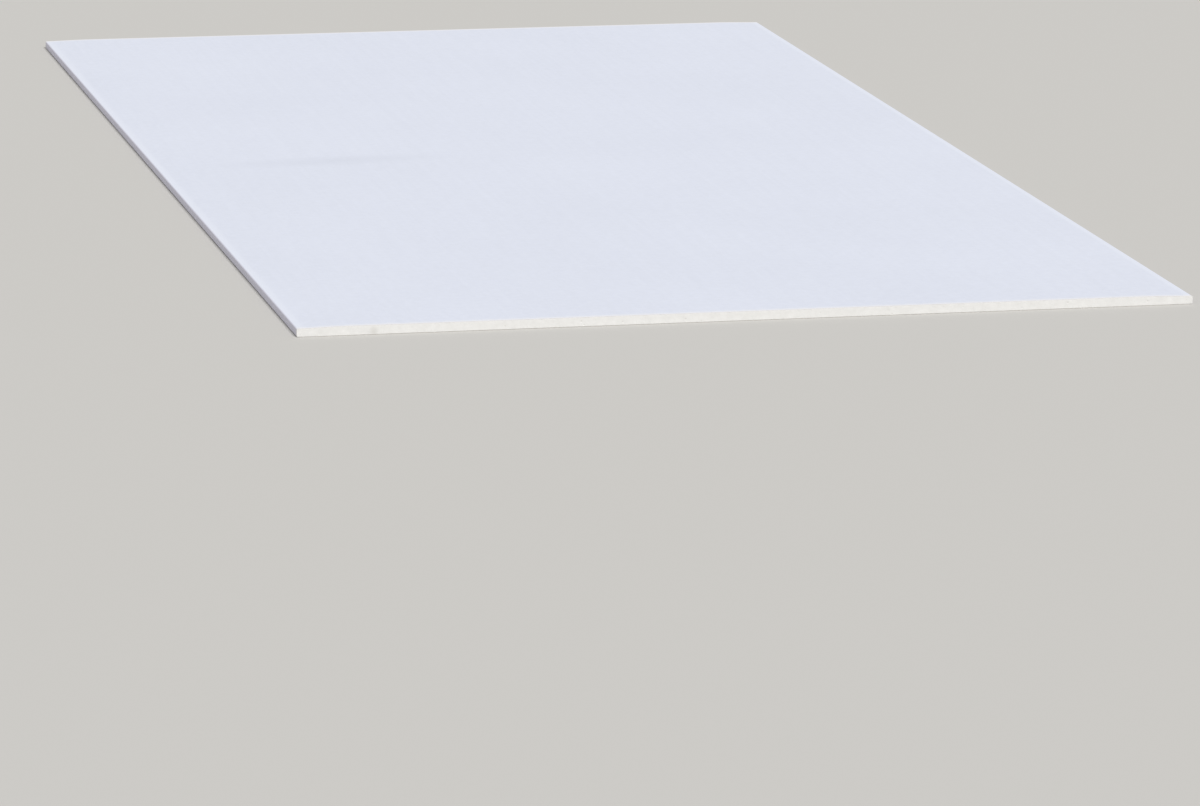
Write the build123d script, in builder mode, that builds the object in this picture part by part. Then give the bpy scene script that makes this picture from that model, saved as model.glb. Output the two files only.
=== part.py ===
from build123d import *
import os

# A full sheet of drywall with two tapered long edges, lying on its back with its face up.
# X runs across the width, Y along the length and Z up through the thickness.
# The origin is the middle of the back face, on the floor. All sizes are in millimetres.

# The sheet
sheet_width = 1200
sheet_length = 2400
sheet_thickness = 12.5

# The taper along each long edge of the face, which leaves room for joint tape and filler
taper_width = 60
taper_depth = 1.5
taper_run_out_radius = 600  # the slow curve from the taper into the flat of the face

# The plaster core, whose long edges are rounded where the paper is folded round them
core_face_corner_radius = 1.6
core_back_corner_radius = 1.2

# The face paper goes over the face, round both long edges and a little way on to the back
face_paper_thickness = 0.35
lap_width = 28  # from the long edge of the sheet to where the face paper ends on the back

# The back paper is glued over both laps and stops just short of the long edges
back_paper_thickness = 0.3
lap_showing = 5  # the strip of each lap that the back paper leaves bare

half_width = sheet_width / 2
edge_top = sheet_thickness - taper_depth
lap_underside = back_paper_thickness
face_fold_radius = core_face_corner_radius + face_paper_thickness
back_fold_radius = core_back_corner_radius + face_paper_thickness
core_foot_width = sheet_width - 2 * lap_width
back_paper_width = sheet_width - 2 * lap_showing

os.makedirs("parts", exist_ok=True)

# Section of the wrapped board, out to the outside of the face paper
with BuildSketch(Plane.XZ) as wrapped_section:
    with BuildLine():
        Polyline(
            (-half_width, lap_underside),
            (-half_width, edge_top),
            (-half_width + taper_width, sheet_thickness),
            (half_width - taper_width, sheet_thickness),
            (half_width, edge_top),
            (half_width, lap_underside),
            close=True,
        )
    make_face()
    taper_shoulders = wrapped_section.vertices().group_by(Axis.Y)[-1]
    fillet(taper_shoulders, radius=taper_run_out_radius)
    face_folds = wrapped_section.vertices().group_by(Axis.Y)[1]
    fillet(face_folds, radius=face_fold_radius)
    back_folds = wrapped_section.vertices().group_by(Axis.Y)[0]
    fillet(back_folds, radius=back_fold_radius)

# Section of the core: the same form one paper thickness further in, with a foot between the
# two laps that fills the back out level with them
with BuildSketch(Plane.XZ) as core_section:
    add(wrapped_section.sketch_local)
    offset(amount=-face_paper_thickness)
    with Locations((0, lap_underside)):
        Rectangle(core_foot_width, face_paper_thickness, align=(Align.CENTER, Align.MIN))

# Gypsum core: foamed plaster that sets between the two papers and is cut square at the ends
with BuildPart() as gypsum_core:
    extrude(core_section.sketch, amount=sheet_length / 2, both=True)

# Face paper: one web, folded up round both long edges and lapped on to the back
with BuildPart() as face_paper:
    with BuildSketch(Plane.XZ):
        add(wrapped_section.sketch_local)
        add(core_section.sketch_local, mode=Mode.SUBTRACT)
    extrude(amount=sheet_length / 2, both=True)

# Back paper: a flat web that closes the back from lap to lap
with BuildPart() as back_paper:
    with BuildSketch(Plane.XY):
        Rectangle(back_paper_width, sheet_length)
    extrude(amount=back_paper_thickness)

gypsum_core.part.label = "gypsum_core"
export_step(gypsum_core.part, "parts/gypsum_core.step")

face_paper.part.label = "face_paper"
export_step(face_paper.part, "parts/face_paper.step")

back_paper.part.label = "back_paper"
export_step(back_paper.part, "parts/back_paper.step")
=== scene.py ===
import math
import bpy
import numpy as np
from mathutils import Euler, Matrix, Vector


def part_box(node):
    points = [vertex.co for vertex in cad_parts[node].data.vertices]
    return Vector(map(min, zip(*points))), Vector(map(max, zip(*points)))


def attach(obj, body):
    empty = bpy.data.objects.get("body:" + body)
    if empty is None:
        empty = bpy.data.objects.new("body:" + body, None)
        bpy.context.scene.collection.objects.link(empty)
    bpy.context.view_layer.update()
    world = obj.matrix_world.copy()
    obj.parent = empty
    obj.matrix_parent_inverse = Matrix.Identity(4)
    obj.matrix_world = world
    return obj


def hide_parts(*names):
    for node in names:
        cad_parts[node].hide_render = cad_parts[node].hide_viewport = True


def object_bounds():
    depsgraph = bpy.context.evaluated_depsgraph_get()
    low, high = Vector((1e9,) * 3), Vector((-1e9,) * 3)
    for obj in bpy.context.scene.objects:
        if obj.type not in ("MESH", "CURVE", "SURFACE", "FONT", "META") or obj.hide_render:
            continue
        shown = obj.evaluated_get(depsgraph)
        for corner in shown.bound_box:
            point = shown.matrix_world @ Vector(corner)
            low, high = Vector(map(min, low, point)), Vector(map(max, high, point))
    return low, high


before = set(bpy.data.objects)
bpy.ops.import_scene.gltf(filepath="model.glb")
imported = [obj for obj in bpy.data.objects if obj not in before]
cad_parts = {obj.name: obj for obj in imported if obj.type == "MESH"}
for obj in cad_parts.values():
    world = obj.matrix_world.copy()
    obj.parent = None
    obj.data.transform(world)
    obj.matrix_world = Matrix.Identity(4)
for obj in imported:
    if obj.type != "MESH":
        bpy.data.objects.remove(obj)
cad_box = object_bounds()


# Gypsum core
# Plaster whisked up with foam and poured between two running papers, where it sets and dries.
# The board is then sawn square to length, so the core shows only at its two cut ends: cream
# white, chalky and full of small burst bubbles. It is glued to both papers all over.

sheet_high = cad_box[1]
half_width, half_length, sheet_thickness = sheet_high
core_low, core_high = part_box("gypsum_core")
face_paper_thickness = sheet_high.z - core_high.z
back_paper_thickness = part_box("back_paper")[1].z

taper_width = 0.060
taper_depth = 0.0015
taper_run_out_radius = 0.600
core_face_corner_radius = 0.0016
core_back_corner_radius = 0.0012
face_fold_radius = core_face_corner_radius + face_paper_thickness
back_fold_radius = core_back_corner_radius + face_paper_thickness
lap_width = 0.028

run_out_steps = 10
face_fold_steps = 20
back_fold_steps = 16


def arc(centre_x, centre_z, radius, start, end, steps):
    """Points on an arc, each with the direction that points out of the board there."""
    return [
        (centre_x + radius * math.cos(angle), centre_z + radius * math.sin(angle),
         math.cos(angle), math.sin(angle))
        for angle in np.linspace(start, end, steps + 1)
    ]


def wrapped_outline():
    """The outside of the board's right half, from the middle of the face, out over the taper,
    round the long edge and back in to where the lap ends. The middle itself is left out."""
    slope = math.atan(taper_depth / taper_width)
    quarter_turn = math.pi / 2
    shoulder = half_width - taper_width - taper_run_out_radius * math.tan(slope / 2)
    edge_top = sheet_thickness - taper_depth
    fold_drop = face_fold_radius * (1 / math.cos(slope) - math.tan(slope))
    run_out = arc(shoulder, sheet_thickness - taper_run_out_radius, taper_run_out_radius,
                  quarter_turn, quarter_turn - slope, run_out_steps)
    face_fold = arc(half_width - face_fold_radius, edge_top - fold_drop, face_fold_radius,
                    quarter_turn - slope, 0, face_fold_steps)
    back_fold = arc(half_width - back_fold_radius, back_paper_thickness + back_fold_radius,
                    back_fold_radius, 0, -quarter_turn, back_fold_steps)
    lap_end = (half_width - lap_width, back_paper_thickness, 0, -1)
    return run_out, face_fold, back_fold, lap_end


run_out, face_fold, back_fold, lap_end = wrapped_outline()


def inward(points, inset):
    """The same points moved into the board by inset."""
    return np.array([(x - inset * out_x, z - inset * out_z) for x, z, out_x, out_z in points])


def section_mesh(name, rows):
    """A flat strip of quads standing across the board, from rows of points that all have the
    same number of points. The faces look along +Y. Its attribute inside is 0 on the border and
    1 from two points in."""
    across, up = len(rows[0]), len(rows)
    points = [(x, 0.0, z) for row in rows for x, z in row]
    quads = [
        (corner, corner + across, corner + across + 1, corner + 1)
        for row in range(up - 1)
        for corner in range(row * across, row * across + across - 1)
    ]
    mesh = bpy.data.meshes.new(name)
    mesh.from_pydata(points, [], quads)
    inside = mesh.attributes.new("inside", "FLOAT", "POINT")
    for row in range(up):
        for column in range(across):
            points_in = min(column, across - 1 - column, row, up - 1 - row)
            inside.data[row * across + column].value = min(points_in / 2, 1)
    return mesh


# The cut end is a grid fine enough to give the bubbles a round form. Its columns are even
# across the board and closer round the corners, and a pair stands at each edge of the foot that
# fills out the back between the laps.
end_grid = 0.00065
core_rows = 18
foot_edge = half_width - lap_width
foot_step = 0.00002
even_columns = np.arange(-core_high.x, core_high.x + end_grid / 2, end_grid)
corner_columns = inward(face_fold[::2], face_paper_thickness)[:, 0]
core_columns = np.unique(np.concatenate([
    even_columns[abs(even_columns) < corner_columns[0] - end_grid / 2],
    corner_columns,
    -corner_columns,
    [side * (foot_edge + step) for side in (-1, 1) for step in (-foot_step, foot_step)],
]))

core_top_line = np.concatenate([
    [(0, core_high.z)],
    inward(run_out, face_paper_thickness),
    inward(face_fold, face_paper_thickness),
])
core_bottom_line = inward(back_fold, face_paper_thickness)[::-1]
columns_out = abs(core_columns)
core_top = np.interp(columns_out, core_top_line[:, 0], core_top_line[:, 1])
core_bottom = np.interp(columns_out, core_bottom_line[:, 0], core_bottom_line[:, 1])
core_bottom[columns_out < foot_edge] = core_low.z
core_section = section_mesh("core_section", [
    np.column_stack([core_columns, core_bottom + (core_top - core_bottom) * row / core_rows])
    for row in range(core_rows + 1)
])


def linear(hex_colour):
    """An sRGB hex colour as Blender's linear colour."""
    parts = [int(hex_colour[i:i + 2], 16) / 255 for i in (1, 3, 5)]
    return tuple(c / 12.92 if c <= 0.04045 else ((c + 0.055) / 1.055) ** 2.4 for c in parts) + (1.0,)


def add_node(tree, kind, sockets=None, **settings):
    """Adds a node. Its settings are the node's own, and sockets maps a socket's name or number
    to a value or to the output that is linked to it."""
    node = tree.nodes.new(kind)
    for setting, value in settings.items():
        setattr(node, setting, value)
    for socket, value in (sockets or {}).items():
        if isinstance(value, bpy.types.NodeSocket):
            tree.links.new(value, node.inputs[socket])
        else:
            node.inputs[socket].default_value = value
    return node


# The sockets of a Mix node share their names, so they go by number: the two colours that go in
# and the colour that comes out
colour_a, colour_b, mixed_colour = 6, 7, 2


def new_material(name):
    """A material with its node tree, its shader and the piece's own coordinates in metres."""
    material = bpy.data.materials.new(name)
    material.use_nodes = True
    tree = material.node_tree
    place = add_node(tree, "ShaderNodeTexCoord").outputs["Object"]
    return material, tree, tree.nodes["Principled BSDF"], place


# Foamed gypsum plaster: dry, chalky and without gloss. It is faintly cloudy, its bubbles of 0.1
# to 1 mm are a soft pepper of dots in painted shade over small dents in the bump, and the saw
# left fine upright scores. The larger bubbles are real pits in the mesh; the shade in them is
# painted here too.
cloud_size = 0.011
grain_size = 0.0008
score_width, score_height = 0.0006, 0.015
bubble_kinds = ((0.0013, 0.4), (0.0005, 0.3))  # how far apart they are, and how dark they get
bubble_dent = 3.0  # how much deeper than the grain and the scores they are in the bump

foamed_plaster, tree, shader, place = new_material("foamed_gypsum_plaster")
clouds = add_node(tree, "ShaderNodeTexNoise", {
    "Vector": place, "Scale": 1 / cloud_size, "Detail": 5.0})
plaster_tone = add_node(tree, "ShaderNodeMix", {
    "Factor": clouds.outputs["Fac"], colour_a: linear("#DEDDDA"), colour_b: linear("#EFEEEC")},
    data_type="RGBA")
bubble_pits_and_painted_shade = add_node(tree, "ShaderNodeAttribute", attribute_name="pore").outputs["Fac"]
# Each bubble darkens the plaster most at its middle: painted shade inside the hollow, over the depth of
# the mesh pits
for spacing, darkest in bubble_kinds:
    bubbles = add_node(tree, "ShaderNodeTexVoronoi", {"Vector": place, "Scale": 1 / spacing})
    chance = add_node(tree, "ShaderNodeSeparateColor", {0: bubbles.outputs["Color"]})
    radius = add_node(tree, "ShaderNodeMapRange", {
        "Value": chance.outputs[0], "From Min": 0.4, "From Max": 1.0, "To Min": 0.0, "To Max": 0.4})
    within = add_node(tree, "ShaderNodeMath", {
        0: radius.outputs[0], 1: bubbles.outputs["Distance"]}, operation="SUBTRACT")
    shade = add_node(tree, "ShaderNodeMapRange", {
        "Value": within.outputs[0], "From Min": 0.0, "From Max": 0.25, "To Max": darkest})
    bubble_pits_and_painted_shade = add_node(tree, "ShaderNodeMath", {
        0: shade.outputs[0], 1: bubble_pits_and_painted_shade}, operation="MAXIMUM").outputs[0]
# Painted shade: inside the bubbles the plaster darkens towards this colour
plaster_with_painted_pit_shade = add_node(tree, "ShaderNodeMix", {
    "Factor": bubble_pits_and_painted_shade, colour_a: plaster_tone.outputs[mixed_colour],
    colour_b: linear("#C4BFB6")}, data_type="RGBA")

# One faint buff smudge low on the front end, 10 cm in from the left corner
stain_from_corner = 0.1005
stain_height = 0.0040
stain_reach = 0.0085
stain_place = (stain_from_corner - half_width, -half_length, stain_height)
from_stain = add_node(tree, "ShaderNodeVectorMath", {
    0: place, 1: stain_place}, operation="DISTANCE")
stain = add_node(tree, "ShaderNodeMapRange", {
    "Value": from_stain.outputs["Value"], "From Min": stain_reach, "From Max": 0.0,
    "To Min": 0.0, "To Max": 0.5}, interpolation_type="SMOOTHSTEP")
plaster_colour = add_node(tree, "ShaderNodeMix", {
    "Factor": stain.outputs[0], colour_a: plaster_with_painted_pit_shade.outputs[mixed_colour],
    colour_b: linear("#C9C6C0")}, data_type="RGBA")

grain = add_node(tree, "ShaderNodeTexNoise", {
    "Vector": place, "Scale": 1 / grain_size, "Detail": 3.0})
upright = add_node(tree, "ShaderNodeMapping", {
    "Vector": place, "Scale": (1 / score_width, 1 / score_width, 1 / score_height)})
scores = add_node(tree, "ShaderNodeTexNoise", {
    "Vector": upright.outputs[0], "Scale": 1.0, "Detail": 2.0})
scored_height = add_node(tree, "ShaderNodeMath", {
    0: grain.outputs["Fac"], 1: scores.outputs["Fac"]}, operation="ADD")
pitted_height = add_node(tree, "ShaderNodeMath", {
    0: bubble_pits_and_painted_shade, 1: -bubble_dent, 2: scored_height.outputs[0]}, operation="MULTIPLY_ADD")
plaster_bump = add_node(tree, "ShaderNodeBump", {
    "Height": pitted_height.outputs[0], "Strength": 0.4, "Distance": 0.0002})
tree.links.new(plaster_colour.outputs[mixed_colour], shader.inputs["Base Color"])
tree.links.new(plaster_bump.outputs["Normal"], shader.inputs["Normal"])
shader.inputs["Roughness"].default_value = 0.95
shader.inputs["Specular IOR Level"].default_value = 0.15


def tree_input(tree, name, kind, value=None):
    """A named input of a Geometry Nodes tree."""
    socket = tree.interface.new_socket(name, in_out="INPUT", socket_type=kind)
    if value is not None:
        socket.default_value = value


def closed_run(tree, section, length):
    """A section on the middle plane, run along Y from one end of the board to the other. The
    extrusion leaves the first end open, so the section turned over closes it."""
    half = add_node(tree, "ShaderNodeMath", {0: length, 1: -0.5}, operation="MULTIPLY")
    to_start = add_node(tree, "ShaderNodeCombineXYZ", {"Y": half.outputs[0]})
    start = add_node(tree, "GeometryNodeTransform", {
        "Geometry": section, "Translation": to_start.outputs[0]})
    run = add_node(tree, "ShaderNodeCombineXYZ", {"Y": length})
    board = add_node(tree, "GeometryNodeExtrudeMesh", {
        "Mesh": start.outputs[0], "Offset": run.outputs[0], "Individual": False}, mode="FACES")
    first_end = add_node(tree, "GeometryNodeFlipFaces", {"Mesh": start.outputs[0]})
    joined = add_node(tree, "GeometryNodeJoinGeometry", {0: board.outputs["Mesh"]})
    tree.links.new(first_end.outputs[0], joined.inputs[0])
    return add_node(tree, "GeometryNodeMergeByDistance", {
        "Geometry": joined.outputs[0], "Distance": 0.000001}).outputs[0]


def burst_bubbles(tree, place, spacing):
    """How deep each point lies in a bubble that the saw cut through. A bubble is a ball of random
    radius round the point of its cell, and three cells in four hold none."""
    per_metre = add_node(tree, "ShaderNodeMath", {0: 1.0, 1: spacing}, operation="DIVIDE")
    cell = add_node(tree, "ShaderNodeTexVoronoi", {"Vector": place, "Scale": per_metre.outputs[0]})
    chance = add_node(tree, "FunctionNodeSeparateColor", {0: cell.outputs["Color"]})
    radius = add_node(tree, "ShaderNodeMapRange", {
        "Value": chance.outputs[0], "From Min": 0.75, "From Max": 1.0, "To Min": 0.0, "To Max": 0.28})
    radius_squared = add_node(tree, "ShaderNodeMath", {
        0: radius.outputs[0], 1: 2.0}, operation="POWER")
    away_squared = add_node(tree, "ShaderNodeMath", {
        0: cell.outputs["Distance"], 1: 2.0}, operation="POWER")
    chord = add_node(tree, "ShaderNodeMath", {
        0: radius_squared.outputs[0], 1: away_squared.outputs[0]}, operation="SUBTRACT", use_clamp=True)
    return add_node(tree, "ShaderNodeMath", {0: chord.outputs[0], 1: 0.5}, operation="POWER").outputs[0]


def cut_to_length_tree():
    """Runs a flat section out to the board's length and closes it. Both ends get the bite of the
    saw: a shallow uneven recess, and the burst bubbles that it opened."""
    tree = bpy.data.node_groups.new("cut_to_length", "GeometryNodeTree")
    tree_input(tree, "Geometry", "NodeSocketGeometry")
    tree_input(tree, "Length", "NodeSocketFloat", 2.4)
    tree_input(tree, "Saw Bite", "NodeSocketFloat", 0.0)
    tree_input(tree, "Bubble Spacing", "NodeSocketFloat", 0.004)
    tree_input(tree, "Bubble Depth", "NodeSocketFloat", 0.0)
    tree_input(tree, "Material", "NodeSocketMaterial")
    tree.interface.new_socket("Geometry", in_out="OUTPUT", socket_type="NodeSocketGeometry")
    given = tree.nodes.new("NodeGroupInput").outputs
    board = closed_run(tree, given["Geometry"], given["Length"])

    # How far each point of an end is cut in. The bubbles fade out at the border, which keeps the
    # outline whole, and the recess goes right across.
    torn_size = 0.006
    place = add_node(tree, "GeometryNodeInputPosition").outputs[0]
    hollow = burst_bubbles(tree, place, given["Bubble Spacing"])
    named_inside = add_node(tree, "GeometryNodeInputNamedAttribute", {
        "Name": "inside"}, data_type="FLOAT")
    pit = add_node(tree, "ShaderNodeMath", {
        0: hollow, 1: named_inside.outputs["Attribute"]}, operation="MULTIPLY")
    bubble_in = add_node(tree, "ShaderNodeMath", {
        0: pit.outputs[0], 1: given["Bubble Depth"]}, operation="MULTIPLY")
    torn = add_node(tree, "ShaderNodeTexNoise", {
        "Vector": place, "Scale": 1 / torn_size, "Detail": 4.0})
    saw_in = add_node(tree, "ShaderNodeMath", {
        0: torn.outputs["Fac"], 1: given["Saw Bite"]}, operation="MULTIPLY")
    depth = add_node(tree, "ShaderNodeMath", {
        0: bubble_in.outputs[0], 1: saw_in.outputs[0]}, operation="ADD")

    # It moves towards the middle of the board, whichever end it is on
    along = add_node(tree, "ShaderNodeSeparateXYZ", {0: place})
    end_side = add_node(tree, "ShaderNodeMath", {0: along.outputs["Y"]}, operation="SIGN")
    outwards = add_node(tree, "ShaderNodeMath", {
        0: end_side.outputs[0], 1: depth.outputs[0]}, operation="MULTIPLY")
    inwards = add_node(tree, "ShaderNodeMath", {
        0: outwards.outputs[0], 1: -1.0}, operation="MULTIPLY")
    offset = add_node(tree, "ShaderNodeCombineXYZ", {"Y": inwards.outputs[0]})

    # The shader reads how deep each point lies in a bubble, to paint the shade in the pits, and
    # which faces the saw cut: those that face along the board
    end_facing = 0.9
    shaded = add_node(tree, "GeometryNodeStoreNamedAttribute", {
        "Geometry": board, "Name": "pore", "Value": pit.outputs[0]},
        data_type="FLOAT", domain="POINT")
    normal = add_node(tree, "GeometryNodeInputNormal")
    facing = add_node(tree, "ShaderNodeSeparateXYZ", {0: normal.outputs[0]})
    to_end = add_node(tree, "ShaderNodeMath", {0: facing.outputs["Y"]}, operation="ABSOLUTE")
    is_end = add_node(tree, "FunctionNodeCompare", {
        0: to_end.outputs[0], 1: end_facing}, data_type="FLOAT", operation="GREATER_THAN")
    marked = add_node(tree, "GeometryNodeStoreNamedAttribute", {
        "Geometry": shaded.outputs[0], "Name": "sawn", "Value": is_end.outputs[0]},
        data_type="FLOAT", domain="FACE")

    smooth = add_node(tree, "GeometryNodeSetShadeSmooth", {
        "Geometry": marked.outputs[0], "Selection": is_end.outputs[0], "Shade Smooth": True})
    sawn = add_node(tree, "GeometryNodeSetPosition", {
        "Geometry": smooth.outputs[0], "Offset": offset.outputs[0]})
    real = add_node(tree, "GeometryNodeRealizeInstances", {0: sawn.outputs[0]})
    finished = add_node(tree, "GeometryNodeSetMaterial", {
        "Geometry": real.outputs[0], "Material": given["Material"]})
    add_node(tree, "NodeGroupOutput", {0: finished.outputs[0]})
    return tree


def made_by_nodes(name, base_mesh, tree, **values):
    """The plain mesh object that a Geometry Nodes tree makes of base_mesh."""
    source = bpy.data.objects.new(name + "_source", base_mesh)
    bpy.context.scene.collection.objects.link(source)
    modifier = source.modifiers.new("shape", "NODES")
    modifier.node_group = tree
    for item in tree.interface.items_tree:
        key = item.name.replace(" ", "_").lower()
        if item.in_out == "INPUT" and key in values:
            modifier[item.identifier] = values[key]
    result = source.evaluated_get(bpy.context.evaluated_depsgraph_get())
    mesh = bpy.data.meshes.new_from_object(result)
    source.modifiers.remove(modifier)
    bpy.data.objects.remove(source)
    mesh.name = name
    piece = bpy.data.objects.new(name, mesh)
    bpy.context.scene.collection.objects.link(piece)
    return piece


plaster_bite = 0.0003
cut_to_length = cut_to_length_tree()
core = made_by_nodes(
    "sawn_gypsum_core", core_section, cut_to_length, length=2 * half_length,
    saw_bite=plaster_bite, bubble_spacing=0.0042, bubble_depth=0.0026, material=foamed_plaster)
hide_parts("gypsum_core")
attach(core, "root")


# Face paper
# One web of smooth, heavy paper in several plies, bluish white on the outside. It comes off the
# machine under the plaster, is creased and folded up round both long edges, and its lap is
# glued to the back of the core. It is cut through with the core at both ends.

# The points across a web are about 2 mm apart, so that the saw leaves its ends finely uneven
web_points = 600
half_line = run_out + face_fold + back_fold + [lap_end]
flat_half = half_line[0][0]
face_line = [(x, sheet_thickness, 0, 1) for x in np.linspace(-flat_half, flat_half, web_points)]
left_half = [(-x, z, -out_x, out_z) for x, z, out_x, out_z in reversed(half_line)]
web = left_half + face_line[1:-1] + half_line
face_section = section_mesh("face_paper_section", [inward(web, face_paper_thickness), inward(web, 0)])

# Calendered white-lined paper: almost matt and very even, with the faint cloudiness of its
# fibres, soft streaks along the sheet, the way that the paper ran, and a few darker fibres.
formation_size = 0.008
drift_size = 0.35
streak_width, streak_length = 0.005, 0.3
fibre_size = 0.0015
dark_fibre_gap = (0.009, 0.022)
drift_weight, streak_weight = 0.6, 0.5  # their parts in the tone, where the formation has 1

face_liner, tree, shader, place = new_material("white_lined_face_paper")
formation = add_node(tree, "ShaderNodeTexNoise", {
    "Vector": place, "Scale": 1 / formation_size, "Detail": 3.0})
drift = add_node(tree, "ShaderNodeTexNoise", {
    "Vector": place, "Scale": 1 / drift_size, "Detail": 1.0})
along = add_node(tree, "ShaderNodeMapping", {
    "Vector": place, "Scale": (1 / streak_width, 1 / streak_length, 1 / streak_width)})
streaks = add_node(tree, "ShaderNodeTexNoise", {
    "Vector": along.outputs[0], "Scale": 1.0, "Detail": 2.0})
cloudiness = add_node(tree, "ShaderNodeMath", {
    0: drift.outputs["Fac"], 1: drift_weight, 2: formation.outputs["Fac"]},
    operation="MULTIPLY_ADD")
tone = add_node(tree, "ShaderNodeMath", {
    0: streaks.outputs["Fac"], 1: streak_weight, 2: cloudiness.outputs[0]},
    operation="MULTIPLY_ADD")
tone_part = add_node(tree, "ShaderNodeMapRange", {
    "Value": tone.outputs[0], "From Min": 0.65, "From Max": 1.45})
paper_tone = add_node(tree, "ShaderNodeMix", {
    "Factor": tone_part.outputs[0], colour_a: linear("#DCE0EC"), colour_b: linear("#E2E6F2")},
    data_type="RGBA")

spread = add_node(tree, "ShaderNodeMapping", {
    "Vector": place, "Scale": (1 / dark_fibre_gap[0], 1 / dark_fibre_gap[1], 1 / dark_fibre_gap[0])})
specks = add_node(tree, "ShaderNodeTexVoronoi", {"Vector": spread.outputs[0], "Scale": 1.0})
dark_fibre = add_node(tree, "ShaderNodeMapRange", {
    "Value": specks.outputs["Distance"], "From Min": 0.05, "From Max": 0.02, "To Max": 0.5})

# Both long edges are lighter along the fold, partly rubbed and partly a painted highlight, and
# down the side the paper is tinted duller, a painted shade for the light that falls there
fold_wear_and_painted_highlight_start, fold_wear_and_painted_highlight_full = half_width - 0.015, half_width - 0.005
side_painted_shade_tint_start, side_painted_shade_tint_full = half_width - 0.0022, half_width - 0.0002
place_parts = add_node(tree, "ShaderNodeSeparateXYZ", {0: place})
from_middle = add_node(tree, "ShaderNodeMath", {
    0: place_parts.outputs["X"]}, operation="ABSOLUTE")
# Painted highlight with some real rubbing: the face gets lighter towards the fold
fold_wear_and_painted_highlight = add_node(tree, "ShaderNodeMapRange", {
    "Value": from_middle.outputs[0], "From Min": fold_wear_and_painted_highlight_start, "From Max": fold_wear_and_painted_highlight_full,
    "To Max": 0.8}, interpolation_type="SMOOTHSTEP")
# Painted shade: the side and the last 2 mm of the face are tinted a duller lavender
side_painted_shade_tint = add_node(tree, "ShaderNodeMapRange", {
    "Value": from_middle.outputs[0], "From Min": side_painted_shade_tint_start, "From Max": side_painted_shade_tint_full})

# Plaster dust from the saw lies in patches on the last 8 to 20 mm before each cut
dust_patch_size = 0.010
dust_narrow, dust_wide = 0.008, 0.020
from_centre = add_node(tree, "ShaderNodeMath", {
    0: place_parts.outputs["Y"]}, operation="ABSOLUTE")
patches = add_node(tree, "ShaderNodeTexNoise", {
    "Vector": place, "Scale": 1 / dust_patch_size, "Detail": 6.0, "Roughness": 0.7})
dust_start = add_node(tree, "ShaderNodeMapRange", {
    "Value": patches.outputs["Fac"], "From Min": 0.3, "From Max": 0.7,
    "To Min": half_length - dust_wide, "To Max": half_length - dust_narrow})
dust = add_node(tree, "ShaderNodeMapRange", {
    "Value": from_centre.outputs[0], "From Min": dust_start.outputs[0], "From Max": half_length,
    "To Max": 0.7}, interpolation_type="SMOOTHSTEP")

# One light graze on the face, left of the middle and nearly straight across the sheet. It is a
# smudge that fades outwards, made of fine scuffs that run along it.
graze_centre = (-0.341, 0.002, sheet_thickness)
graze_reach = (0.200, 0.045, 1.0)
graze_turn = math.radians(4.5)
scuffs_in_reach = (3.0, 30.0, 1.0)
graze_place = add_node(tree, "ShaderNodeMapping", {
    "Vector": place, "Location": graze_centre, "Rotation": (0, 0, graze_turn),
    "Scale": graze_reach}, vector_type="TEXTURE")
graze_away = add_node(tree, "ShaderNodeVectorMath", {
    0: graze_place.outputs[0]}, operation="LENGTH")
smudge = add_node(tree, "ShaderNodeMapRange", {
    "Value": graze_away.outputs["Value"], "From Min": 1.0, "From Max": 0.0, "To Max": 0.48})
scuff_place = add_node(tree, "ShaderNodeMapping", {
    "Vector": graze_place.outputs[0], "Scale": scuffs_in_reach})
scuffs = add_node(tree, "ShaderNodeTexNoise", {
    "Vector": scuff_place.outputs[0], "Scale": 1.0, "Detail": 3.0})
scuff_part = add_node(tree, "ShaderNodeMapRange", {
    "Value": scuffs.outputs["Fac"], "From Min": 0.3, "From Max": 0.7, "To Min": 0.4, "To Max": 1.6})
graze = add_node(tree, "ShaderNodeMath", {
    0: smudge.outputs[0], 1: scuff_part.outputs[0]}, operation="MULTIPLY")

# The layers of colour lie over each other in this order. The last is the paper's own cut edge.
cut = add_node(tree, "ShaderNodeAttribute", attribute_name="sawn")
paper_colour = paper_tone.outputs[mixed_colour]
# The fold's lighter tone is partly a painted highlight, and the side's tint is painted shade
for part, hex_colour in (
    (dark_fibre.outputs[0], "#C3C7D2"),
    (graze.outputs[0], "#D3D7E3"),
    (fold_wear_and_painted_highlight.outputs[0], "#E7EBF6"),
    (side_painted_shade_tint.outputs[0], "#E0DFED"),
    (dust.outputs[0], "#EFEDEE"),
    (cut.outputs["Fac"], "#E2E0DD"),
):
    paper_colour = add_node(tree, "ShaderNodeMix", {
        "Factor": part, colour_a: paper_colour, colour_b: linear(hex_colour)},
        data_type="RGBA").outputs[mixed_colour]
tree.links.new(paper_colour, shader.inputs["Base Color"])
fibres = add_node(tree, "ShaderNodeTexNoise", {
    "Vector": place, "Scale": 1 / fibre_size, "Detail": 3.0})
paper_bump = add_node(tree, "ShaderNodeBump", {
    "Height": fibres.outputs["Fac"], "Strength": 0.15, "Distance": 0.0001})
tree.links.new(paper_bump.outputs["Normal"], shader.inputs["Normal"])

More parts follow.
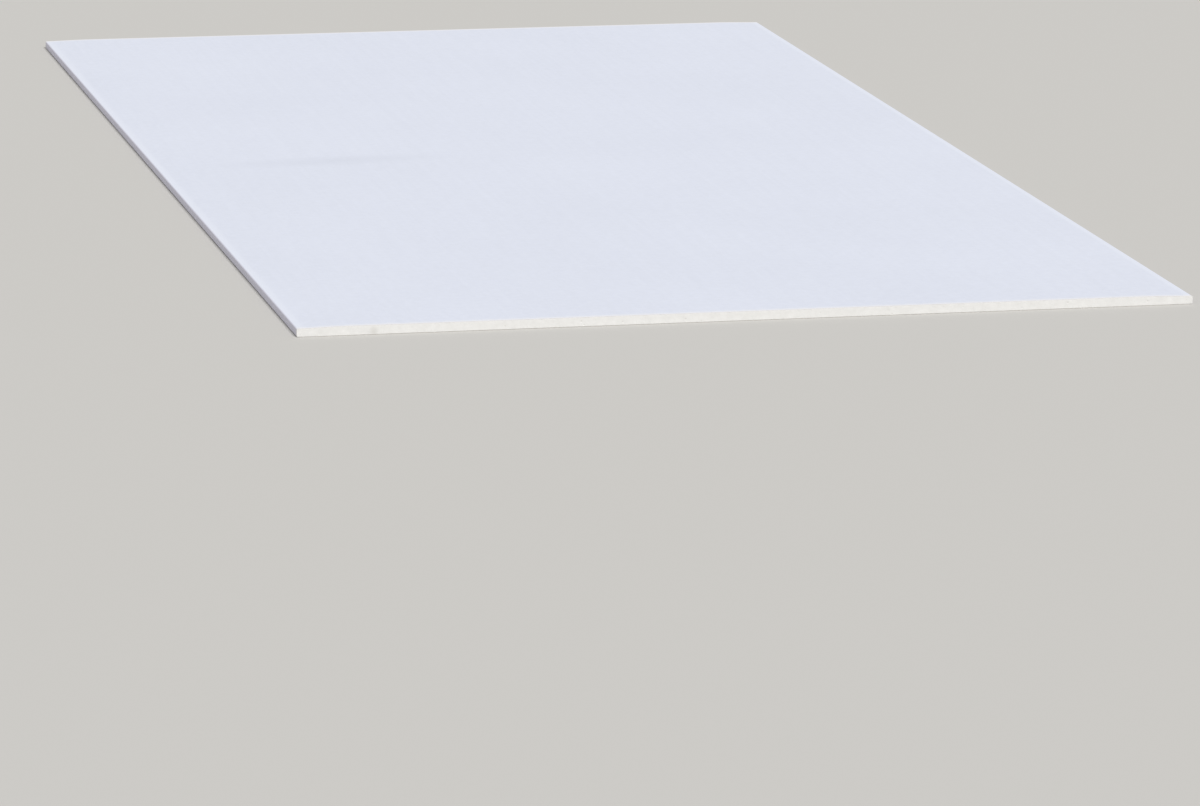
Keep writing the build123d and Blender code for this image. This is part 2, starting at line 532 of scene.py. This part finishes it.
# Rubbed paper is a little smoother and dusty paper duller. The two plain values that go into a
# Mix node go by number, as its colours do.
value_a, value_b = 2, 3
clean_roughness = add_node(tree, "ShaderNodeMapRange", {
    "Value": formation.outputs["Fac"], "From Min": 0.3, "From Max": 0.7,
    "To Min": 0.68, "To Max": 0.8})
rubbed_roughness = add_node(tree, "ShaderNodeMix", {
    "Factor": fold_wear_and_painted_highlight.outputs[0], value_a: clean_roughness.outputs[0], value_b: 0.6},
    data_type="FLOAT")
dusty_roughness = add_node(tree, "ShaderNodeMix", {
    "Factor": dust.outputs[0], value_a: rubbed_roughness.outputs[0], value_b: 0.95},
    data_type="FLOAT")
tree.links.new(dusty_roughness.outputs[0], shader.inputs["Roughness"])
shader.inputs["Specular IOR Level"].default_value = 0.25

paper_bite = 0.00015
face_paper = made_by_nodes(
    "wrapped_face_paper", face_section, cut_to_length, length=2 * half_length,
    saw_bite=paper_bite, material=face_liner)
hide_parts("face_paper")
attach(face_paper, "root")


# Back paper
# A flat web of unbleached grey paper, made of waste paper. It is laid on the wet plaster and
# over both laps, to which it is glued, and it stops 5 mm short of the long edges.

back_low, back_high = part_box("back_paper")
back_line = np.linspace(back_low.x, back_high.x, web_points)
back_section = section_mesh("back_paper_section", [
    [(x, z) for x in back_line] for z in (back_low.z, back_high.z)])

# Recycled grey paper: matt and mottled, with faint broad bands along the sheet, light and dark
# fibres that lie mostly the same way, and small flecks of old print. Real fibres are finer, and
# these are drawn 0.7 mm wide and 4 mm long so that they show.
pulp_size = 0.006
band_width, band_length = 0.12, 0.7
strand_width, strand_length = 0.0007, 0.004
fleck_gap = 0.009
band_weight = 0.45  # the bands' part in the mottle, where the pulp has 1

back_liner, tree, shader, place = new_material("grey_recycled_back_paper")
pulp = add_node(tree, "ShaderNodeTexNoise", {
    "Vector": place, "Scale": 1 / pulp_size, "Detail": 4.0})
lengthways = add_node(tree, "ShaderNodeMapping", {
    "Vector": place, "Scale": (1 / band_width, 1 / band_length, 1 / band_width)})
bands = add_node(tree, "ShaderNodeTexNoise", {
    "Vector": lengthways.outputs[0], "Scale": 1.0, "Detail": 3.0})
mottle = add_node(tree, "ShaderNodeMath", {
    0: bands.outputs["Fac"], 1: band_weight, 2: pulp.outputs["Fac"]}, operation="MULTIPLY_ADD")
mottle_part = add_node(tree, "ShaderNodeMapRange", {
    "Value": mottle.outputs[0], "From Min": 0.3, "From Max": 1.15})
back_tone = add_node(tree, "ShaderNodeMix", {
    "Factor": mottle_part.outputs[0], colour_a: linear("#AAA69D"), colour_b: linear("#C5C1B7")},
    data_type="RGBA")
back_colour = back_tone.outputs[mixed_colour]
for turn, hex_colour in ((12, "#DAD6CC"), (-20, "#8B877F"), (65, "#CFCABF")):
    laid = add_node(tree, "ShaderNodeMapping", {
        "Vector": place, "Rotation": (0, 0, math.radians(turn)),
        "Scale": (1 / strand_width, 1 / strand_length, 1 / strand_width)})
    strands = add_node(tree, "ShaderNodeTexNoise", {
        "Vector": laid.outputs[0], "Scale": 1.0, "Detail": 1.0})
    strand = add_node(tree, "ShaderNodeMapRange", {
        "Value": strands.outputs["Fac"], "From Min": 0.62, "From Max": 0.74, "To Max": 0.5})
    back_colour = add_node(tree, "ShaderNodeMix", {
        "Factor": strand.outputs[0], colour_a: back_colour, colour_b: linear(hex_colour)},
        data_type="RGBA").outputs[mixed_colour]
flecks = add_node(tree, "ShaderNodeTexVoronoi", {"Vector": place, "Scale": 1 / fleck_gap})
fleck = add_node(tree, "ShaderNodeMapRange", {
    "Value": flecks.outputs["Distance"], "From Min": 0.08, "From Max": 0.05, "To Max": 0.7})
back_colour = add_node(tree, "ShaderNodeMix", {
    "Factor": fleck.outputs[0], colour_a: back_colour, colour_b: linear("#6F7076")},
    data_type="RGBA").outputs[mixed_colour]
tree.links.new(back_colour, shader.inputs["Base Color"])
back_bump = add_node(tree, "ShaderNodeBump", {
    "Height": pulp.outputs["Fac"], "Strength": 0.3, "Distance": 0.0003})
tree.links.new(back_bump.outputs["Normal"], shader.inputs["Normal"])
back_roughness = add_node(tree, "ShaderNodeMapRange", {
    "Value": pulp.outputs["Fac"], "From Min": 0.3, "From Max": 0.7, "To Min": 0.85, "To Max": 0.95})
tree.links.new(back_roughness.outputs[0], shader.inputs["Roughness"])
shader.inputs["Specular IOR Level"].default_value = 0.2

back_paper = made_by_nodes(
    "grey_back_paper", back_section, cut_to_length, length=2 * half_length,
    saw_bite=paper_bite, material=back_liner)
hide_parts("back_paper")
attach(back_paper, "root")


# Floor, light and camera
# A plain pale floor under one broad soft light and an even room. The camera stands where the
# photograph was taken from.

floor_reach = 120.0
floor_drop = 0.00005  # keeps the floor just clear of the back paper
floor_colour = linear("#CBC9C5")
floor_corners = [(-1, -1), (1, -1), (1, 1), (-1, 1)]
floor_mesh = bpy.data.meshes.new("floor")
floor_mesh.from_pydata(
    [(x * floor_reach, y * floor_reach, -floor_drop) for x, y in floor_corners], [], [(0, 1, 2, 3)])
floor = bpy.data.objects.new("floor", floor_mesh)
bpy.context.scene.collection.objects.link(floor)

# Matt floor paint: pale, even and without gloss
floor_paint, _, shader, _ = new_material("matt_floor_paint")
shader.inputs["Base Color"].default_value = floor_colour
shader.inputs["Roughness"].default_value = 0.9
shader.inputs["Specular IOR Level"].default_value = 0.1
floor_mesh.materials.append(floor_paint)

# The room lights the sheet evenly with white, and the camera sees it in the floor's colour
world = bpy.data.worlds.new("even_room")
bpy.context.scene.world = world
world.use_nodes = True
tree = world.node_tree
room = tree.nodes["Background"]
room.inputs["Color"].default_value = linear("#FFFFFF")
room.inputs["Strength"].default_value = 0.43
seen = add_node(tree, "ShaderNodeBackground", {"Color": floor_colour, "Strength": 1.0})
ray = add_node(tree, "ShaderNodeLightPath")
shown = add_node(tree, "ShaderNodeMixShader", {
    0: ray.outputs["Is Camera Ray"], 1: room.outputs[0], 2: seen.outputs[0]})
tree.links.new(shown.outputs[0], tree.nodes["World Output"].inputs["Surface"])

towards_softbox = Vector((0.12, -0.57, 0.65))
softbox = bpy.data.lights.new("softbox", "SUN")
softbox.energy = 2.49
softbox.angle = math.radians(25)
lamp = bpy.data.objects.new("softbox", softbox)
lamp.rotation_euler = towards_softbox.to_track_quat("Z", "Y").to_euler()
bpy.context.scene.collection.objects.link(lamp)

photo_width = 1200
lens_in_pixels = 6430
camera_data = bpy.data.cameras.new("camera")
camera_data.sensor_width = 36
camera_data.lens = camera_data.sensor_width * lens_in_pixels / photo_width
camera_data.clip_end = 300
camera = bpy.data.objects.new("camera", camera_data)
camera.location = (-1.978, -9.162, 1.656)
camera_tilt_down = 12.16
camera_turn_right = 12.58
camera_roll = 0.41
camera.rotation_mode = "QUATERNION"
camera.rotation_quaternion = (
    Euler((0, 0, math.radians(-camera_turn_right))).to_quaternion()
    @ Euler((math.radians(90 - camera_tilt_down), 0, 0)).to_quaternion()
    @ Euler((0, 0, math.radians(camera_roll))).to_quaternion())
bpy.context.scene.collection.objects.link(camera)
bpy.context.scene.camera = camera
bpy.context.scene.view_settings.view_transform = "Standard"
